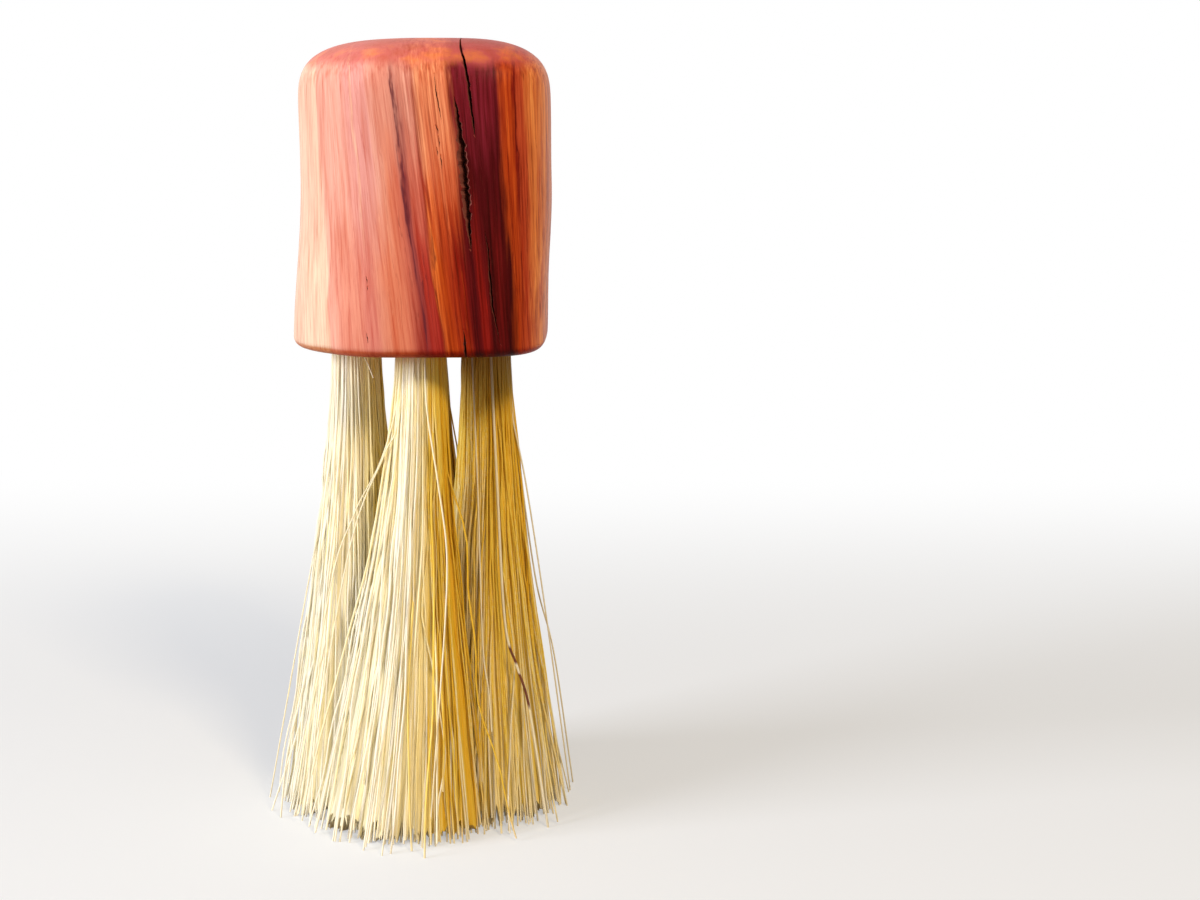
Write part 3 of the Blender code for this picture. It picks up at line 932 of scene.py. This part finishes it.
def crack_cutter(points, foot, seed, material):
    """Wedge with ragged sides that is wide at the surface of the wood and sharp inside it."""
    chance = random.Random(seed)
    shape = bmesh.new()
    rings = []
    for across, height, half, depth in crack_stations(points):
        x = across * MM - foot.x
        z = height * MM - foot.z
        y = front_y(x, min(max(z, 0.0), BLOCK_HEIGHT * CRACK_TOP_SHARE))
        ragged = CRACK_RAGGEDNESS * half
        reach = 1 + CRACK_OVERHANG / depth
        left = (half + chance.uniform(-ragged, ragged)) * MM * reach
        right = (half + chance.uniform(-ragged, ragged)) * MM * reach
        root = (half * CRACK_LEAN + chance.uniform(-ragged, ragged)) * MM
        outer = y - CRACK_OVERHANG * MM
        rings.append([
            shape.verts.new((x - left, outer, z)),
            shape.verts.new((x + right, outer, z)),
            shape.verts.new((x + root, y + depth * MM, z)),
        ])
    for lower, upper in zip(rings, rings[1:]):
        join_rings(shape, lower, upper)
    shape.faces.new(rings[0])
    shape.faces.new(rings[-1])
    return finish_object("crack", shape, material, foot)


def ring_place(points):
    """Place of each point across the growth rings, in millimetres, with the bands' lean taken out."""
    x, y, z = (points / MM).T
    flat = RING_MIDDLE_X - np.hypot(RING_MIDDLE_X - x, y - RING_MIDDLE_Y)
    across = flat
    for _ in range(LEAN_ROUNDS):
        lean = BAND_LEAN * np.exp(-(((across - LEAN_MIDDLE) / LEAN_WIDTH) ** 2))
        across = flat + lean * (z - BAND_HEIGHT)
    return across


def set_attribute(mesh, name, values, domain="POINT"):
    attribute = mesh.attributes.new(name, "FLOAT", domain)
    attribute.data.foreach_set("value", np.asarray(values, dtype=np.float32))


def applied(item):
    """The object's mesh with its modifiers applied."""
    graph = bpy.context.evaluated_depsgraph_get()
    mesh = bpy.data.meshes.new_from_object(item.evaluated_get(graph))
    item.modifiers.clear()
    item.data = mesh
    return mesh


def make_block(foot, stations):
    wood = wood_material()
    cut_face = bpy.data.materials.new("cut_face")
    block = block_body(wood, foot)
    block.data.materials.append(cut_face)
    cutters = [hole_cutter(station, foot, cut_face) for station in stations]
    cutters += [crack_cutter(points, foot, seed, cut_face) for seed, points in enumerate(CRACKS)]
    for cutter in cutters:
        cut = block.modifiers.new("cut", "BOOLEAN")
        cut.operation = "DIFFERENCE"
        cut.solver = "EXACT"
        cut.material_mode = "TRANSFER"
        cut.object = cutter
    mesh = applied(block)
    for cutter in cutters:
        bpy.data.objects.remove(cutter)

    points = np.empty(len(mesh.vertices) * 3, np.float32)
    mesh.vertices.foreach_get("co", points)
    set_attribute(mesh, "ring", ring_place(points.reshape(-1, 3).astype(float)))
    is_cut = [float(material.name.startswith("cut_face")) for material in mesh.materials]
    set_attribute(mesh, "inside", [is_cut[face.material_index] for face in mesh.polygons], "FACE")
    tilts = []
    for vertex in mesh.vertices:
        tilts.append(vertex.normal.z + END_RAGGEDNESS * noise.noise(vertex.co / END_PATCH_SIZE))
    # Upward-facing top: end grain with painted sheen
    set_attribute(mesh, "end_grain_and_sheen", [smooth_share((tilt - TOP_TILT) / TILT_SPAN) for tilt in tilts])
    # Downward-facing rim: painted shade
    set_attribute(mesh, "painted_foot_shade", [smooth_share((FOOT_TILT - tilt) / TILT_SPAN) for tilt in tilts])
    mesh.materials.clear()
    mesh.materials.append(wood)
    for face in mesh.polygons:
        face.material_index = 0
    mesh.shade_smooth()
    mesh.set_sharp_from_angle(angle=WOOD_CREASE)
    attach(block, "root")
    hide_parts("handle_block")


def heading(angle):
    return Vector((math.cos(angle), math.sin(angle)))


def circle_point(angle):
    """Middle of the hole in this direction, from the axis of the block."""
    radius = BLOCK_DEPTH / 2 - EDGE_WALL - HOLE_RADIUS
    return Vector((radius * math.cos(angle), radius * math.sin(angle)))


def distance_to_ellipse(start, way):
    """How far it is from a point inside the foot's ellipse to its edge."""
    width, depth = FOOT_WIDTH / 2, FOOT_DEPTH / 2
    speed = (way.x / width) ** 2 + (way.y / depth) ** 2
    slope = start.x * way.x / width**2 + start.y * way.y / depth**2
    inside = (start.x / width) ** 2 + (start.y / depth) ** 2 - 1
    return (math.sqrt(slope**2 - speed * inside) - slope) / speed


def spread_limit(foot_angle, way_angle):
    """How far one bundle's tips reach from the middle of its foot in this direction."""
    start = circle_point(foot_angle)
    way = heading(way_angle)
    limits = [TUFT_REACH, distance_to_ellipse(start, way)]
    for side in (-1, 1):
        edge = foot_angle + side * math.pi / len(TUFT_NAMES)
        outward = Vector((-math.sin(edge), math.cos(edge))) * side
        facing = outward.dot(way)
        if facing > 0:
            limits.append((TUFT_MINGLING - outward.dot(start)) / facing)
    return sum(limit**-CORNER_SOFTNESS for limit in limits) ** (-1 / CORNER_SOFTNESS)


def foot_middle(foot_angle):
    return circle_point(foot_angle) + Vector((FOOT_RIGHT, FOOT_BACK))


def root_and_tip(station, foot_angle, angle, share):
    """Where a fibre starts and ends, by its side of the bundle and its share of the way to the outside."""
    root = station + heading(angle) * (HOLE_RADIUS - FIT_GAP - FIBRE_RADIUS) * share
    reach = heading(angle) * spread_limit(foot_angle, angle) * share * TIP_SPREAD
    return root, foot_middle(foot_angle) + reach


def scatter(chance, size):
    return Vector((chance.gauss(0, 1), chance.gauss(0, 1))) * size


def fibre_path(root, tip, bow, end, wildness, chance):
    """Points along one fibre from its root to its tip, with a bow and two waves."""
    top = BRISTLE_LENGTH + ROOT_RISE
    waves = []
    for size, slowest, fastest in WAVES:
        way = scatter(chance, size * wildness)
        waves.append((way, chance.uniform(slowest, fastest) * math.pi, chance.uniform(0, math.tau)))
    path = []
    for step in range(FIBRE_STEPS + 1):
        knot = step / FIBRE_STEPS
        loose = min(1.0, knot / WAVES_FULL)
        flat = root.lerp(tip, knot**FLARE_POWER) + bow * math.sin(math.pi * knot) * knot
        for way, speed, start in waves:
            flat = flat + way * math.sin(speed * knot + start) * loose
        path.append(Vector((flat.x, flat.y, top + (end - top) * knot)))
    return path


def side_share(angle, side, middle, slope):
    """How much a direction faces one side, from 0 to 1."""
    return smooth_share(middle + slope * math.cos(angle - side))


def low_share(height, top):
    """Grows from 0 at this share of the bristles' length over the floor to 1 at the floor."""
    return smooth_share(1 - height / BRISTLE_LENGTH / top)


def clamped(tone):
    return min(max(tone, 0.0), 1.0)


def fibre_tone(name, angle, share, height):
    """Colour of a fibre by its side of the bundle, its depth in it and its height: painted light makes the
    side facing the window lamp ivory, and painted shade makes the other side, the inside and the part near
    the wood golden.
    """
    # Painted light on the outer fibres of the side facing the window lamp
    pale = side_share(angle, LIT_SIDE, PALE_MIDDLE, PALE_SLOPE) * LIT_SIDE_PALENESS[name]
    pale *= smooth_share((share - PALE_FROM) / PALE_SPAN)
    # Painted shade near the wood, under the block
    root_shade = ROOT_SHADE_GOLD[name] * smooth_share((height / BRISTLE_LENGTH - ROOT_SHADE_START) / (1 - ROOT_SHADE_START))
    # Paler towards the foot on the right-front side
    paler_side = PALER_FOOT_SIDE_SHARE[name] * side_share(angle, PALER_FOOT_SIDE, PALER_FOOT_MIDDLE, PALER_FOOT_SLOPE)
    # Painted shade on the side away from the window lamp, paler towards the foot
    shade_side = SHADE_SIDE_TONE[name] + low_share(height, PALER_FOOT_REACH) * (PALER_FOOT_LIFT + paler_side)
    return (shade_side + (IVORY - shade_side) * pale) * (1 - root_shade)


def painted_root_shade(name, height):
    """Painted shade: how much a fibre is browned near the wood, where the block's shadow falls."""
    return PAINTED_ROOT_SHADE[name] * smooth_share((height - ROOT_SHADE_FROM) / (BRISTLE_LENGTH - ROOT_SHADE_FROM))


def core_flutes(name, station, foot_angle, chance):
    """Face of the fibres packed inside one bundle, as lines of (point, tone) from the root down."""
    flutes = []
    for number in range(CORE_FLUTES):
        angle = math.tau * number / CORE_FLUTES
        depth = CORE_SHARE - chance.random() * CORE_ROUGHNESS / HOLE_RADIUS
        luck = chance.gauss(0, CORE_TONE_SPREAD)
        reach = chance.uniform(*CORE_REACH)
        side = root_and_tip(station, foot_angle, angle, depth)
        end = root_and_tip(station, foot_angle, angle, depth * CORE_END_SHARE)
        flute = []
        for step in range(FIBRE_STEPS + CORE_END_RINGS + 1):
            knot = min(step, FIBRE_STEPS) / FIBRE_STEPS * reach
            root, tip = side if step < FIBRE_STEPS + CORE_END_RINGS else end
            flat = root.lerp(tip, knot**FLARE_POWER)
            height = (BRISTLE_LENGTH + ROOT_RISE) * (1 - knot)
            # Painted shade: the packed body's tone is lowered
            tone = fibre_tone(name, angle, 1.0, height) * CORE_SHADE_TONE + luck
            flute.append(((flat.x, flat.y, height), clamped(tone)))
        flutes.append(flute)
    return flutes


def stray_path(points):
    """Smooth curve through a stray fibre's points."""
    ends = [Vector(point) * MM for point in points]
    ends = [2 * ends[0] - ends[1]] + ends + [2 * ends[-1] - ends[-2]]
    path = []
    spans = len(points) - 1
    for step in range(STRAY_STEPS + 1):
        place = step / STRAY_STEPS * spans
        span = min(int(place), spans - 1)
        share = place - span
        before, start, end, after = ends[span:span + 4]
        bend = 2 * before - 5 * start + 4 * end - after
        twist = 3 * start - before - 3 * end + after
        path.append((2 * start + (end - before) * share + bend * share**2 + twist * share**3) / 2)
    return path


def shortfall(chance):
    """How far a fibre's tip ends above the floor."""
    luck = chance.random()
    for least_luck, low, high in SHORTFALLS:
        if luck > least_luck:
            return chance.uniform(low, high) * MM
    return 0.0


def tuft_locks(foot_angle, chance):
    """The locks that a bundle's fibres lean to, as (place on the ground, bow, shade)."""
    locks = []
    for number in range(LOCKS):
        share = math.sqrt((number + 0.5) / LOCKS)
        angle = number * GOLDEN_ANGLE + chance.uniform(-LOCK_TURN, LOCK_TURN)
        spot = foot_middle(foot_angle) + heading(angle) * spread_limit(foot_angle, angle) * share
        locks.append((spot, scatter(chance, BOW), chance.uniform(-LOCK_SHADE, LOCK_SHADE)))
    return locks


def tuft_fibres(name, station, foot_angle, chance):
    """The fibres of one bundle, each as (path, radius, tones along it, stained heights)."""
    locks = tuft_locks(foot_angle, chance)
    fibres = []
    for index in range(FIBRE_COUNT):
        share = ((index + 0.5) / FIBRE_COUNT) ** FIBRE_CROWDING
        angle = index * GOLDEN_ANGLE
        root, tip = root_and_tip(station, foot_angle, angle, share)
        spot, lean, shade = min(locks, key=lambda lock: (lock[0] - tip).length)
        wildness = WILDNESS if chance.random() < WILD_SHARE else 1.0
        tip = tip.lerp(spot, LOCK_PULL * chance.random()) + scatter(chance, TIP_SCATTER * wildness)
        bow = lean + scatter(chance, BOW) * OWN_BOW * wildness
        path = fibre_path(root, tip, bow, shortfall(chance), wildness, chance)
        radius = FIBRE_RADIUS * chance.uniform(*RADIUS_RANGE)
        luck = chance.gauss(0, TONE_SPREAD) + shade
        streak = STREAK_TONE if chance.random() < STREAK_SHARE else 0.0
        tones = []
        for point in path:
            tone = fibre_tone(name, angle, share, point.z) + luck
            tones.append(clamped(tone + streak * low_share(point.z, STREAK_TOP)))
        fibres.append((path, radius, tones, ()))
    for points, stains in STRAYS[name]:
        path = stray_path(points)
        width = STAINED_WIDTH if stains else STRAY_WIDTH
        fibres.append((path, FIBRE_RADIUS * width, [STRAY_TONE] * len(path), stains))
    return fibres


class Bundle:
    """Points, faces and point values of one bundle's mesh, gathered fibre by fibre."""

    def __init__(self, name):
        self.name = name
        self.places = []
        self.faces = []
        self.values = {"tone": [], "tip": [], "dark": []}

    def add_point(self, place, tone, tip, dark):
        self.places.append(place)
        for values, value in zip(self.values.values(), (tone, tip, dark)):
            values.append(value)

    def add_fibre(self, path, radius, tones, stains, turn):
        """Thin tube. Its last ring is there twice, so that the smooth side isn't shaded by the flat end."""
        base = len(self.places)
        last = len(path) - 1
        for number, point in enumerate(path + path[-1:]):
            knot = min(number / last, 1.0)
            size = radius * (1 - FIBRE_TAPER * knot)
            tip = max(0.0, (knot - 1 + TIP_SHARE) / TIP_SHARE)
            stained = any(low <= point.z / MM <= high for low, high in stains)
            # Real stains, or painted shade near the wood
            dark = 1.0 if stained else painted_root_shade(self.name, point.z)
            for side in range(FIBRE_SIDES):
                around = turn + math.tau * side / FIBRE_SIDES
                place = (point.x + size * math.cos(around), point.y + size * math.sin(around), point.z)
                self.add_point(place, tones[min(number, last)], tip, dark)
        for number in range(last):
            lower = base + number * FIBRE_SIDES
            upper = lower + FIBRE_SIDES
            for side in range(FIBRE_SIDES):
                after = (side + 1) % FIBRE_SIDES
                self.faces.append((lower + side, upper + side, upper + after, lower + after))
        self.faces.append(tuple(base + side for side in range(FIBRE_SIDES)))
        self.faces.append(tuple(len(self.places) - 1 - side for side in range(FIBRE_SIDES)))

    def add_core(self, flutes):
        """Fluted body inside the fibres. Its last ring is there twice too."""
        base = len(self.places)
        length = len(flutes[0])
        for flute in flutes:
            for place, tone in flute:
                # Painted shade near the wood
                self.add_point(place, tone, 0.0, painted_root_shade(self.name, place[2]))
        for number in range(CORE_FLUTES):
            near = base + number * length
            far = base + (number + 1) % CORE_FLUTES * length
            for step in range(length - 1):
                if step != FIBRE_STEPS:
                    self.faces.append((near + step, near + step + 1, far + step + 1, far + step))
        self.faces.append(tuple(base + number * length for number in range(CORE_FLUTES)))
        end = base + CORE_FLUTES * length - 1
        self.faces.append(tuple(end - number * length for number in range(CORE_FLUTES)))

    def make_mesh(self, material):
        mesh = bpy.data.meshes.new("fibres_" + self.name)
        mesh.from_pydata(self.places, [], self.faces)
        mesh.shade_smooth()
        for name, values in self.values.items():
            set_attribute(mesh, name, values)
        mesh.materials.append(material)
        return mesh


def make_tuft(name, station, angle, material, seed):
    chance = random.Random(seed)
    bundle = Bundle(name)
    for path, radius, tones, stains in tuft_fibres(name, station, angle - FOOT_TWIST, chance):
        bundle.add_fibre(path, radius, tones, stains, chance.uniform(0, math.tau))
    bundle.add_core(core_flutes(name, station, angle - FOOT_TWIST, chance))
    tuft = add_object("fibres_" + name, bundle.make_mesh(material))
    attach(tuft, "root")
    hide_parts("tuft_" + name)


def dress_node(name, material):
    """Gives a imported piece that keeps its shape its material."""
    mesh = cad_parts[name].data
    mesh.materials.clear()
    mesh.materials.append(material)


def box_centre(name):
    low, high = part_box(name)
    return (low + high) / 2


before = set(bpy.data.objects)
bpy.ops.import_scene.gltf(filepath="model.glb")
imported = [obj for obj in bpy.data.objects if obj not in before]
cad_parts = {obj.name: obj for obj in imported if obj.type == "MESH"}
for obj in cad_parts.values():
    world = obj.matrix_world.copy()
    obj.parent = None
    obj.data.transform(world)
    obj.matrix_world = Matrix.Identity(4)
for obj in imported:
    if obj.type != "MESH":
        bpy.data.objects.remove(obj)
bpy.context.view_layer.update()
bpy.context.scene.view_settings.view_transform = "Standard"
make_camera()
make_lights()
make_stage()

thread = thread_material()
glue = glue_material()
fibre = fibre_material()
middle = Vector((0.0, 0.0))
stations = []
for name in TUFT_NAMES:
    centre = box_centre("binding_" + name)
    stations.append(centre.xy)
    middle += centre.xy / len(TUFT_NAMES)
    dress_node("binding_" + name, thread)
    dress_node("adhesive_" + name, glue)
foot = Vector((middle.x, middle.y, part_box("handle_block")[0].z))
make_block(foot, stations)
for number, name in enumerate(TUFT_NAMES):
    angle = -math.pi / 2 + TUFT_TURN + number * math.tau / len(TUFT_NAMES)
    make_tuft(name, stations[number], angle, fibre, TUFT_SEED + number)
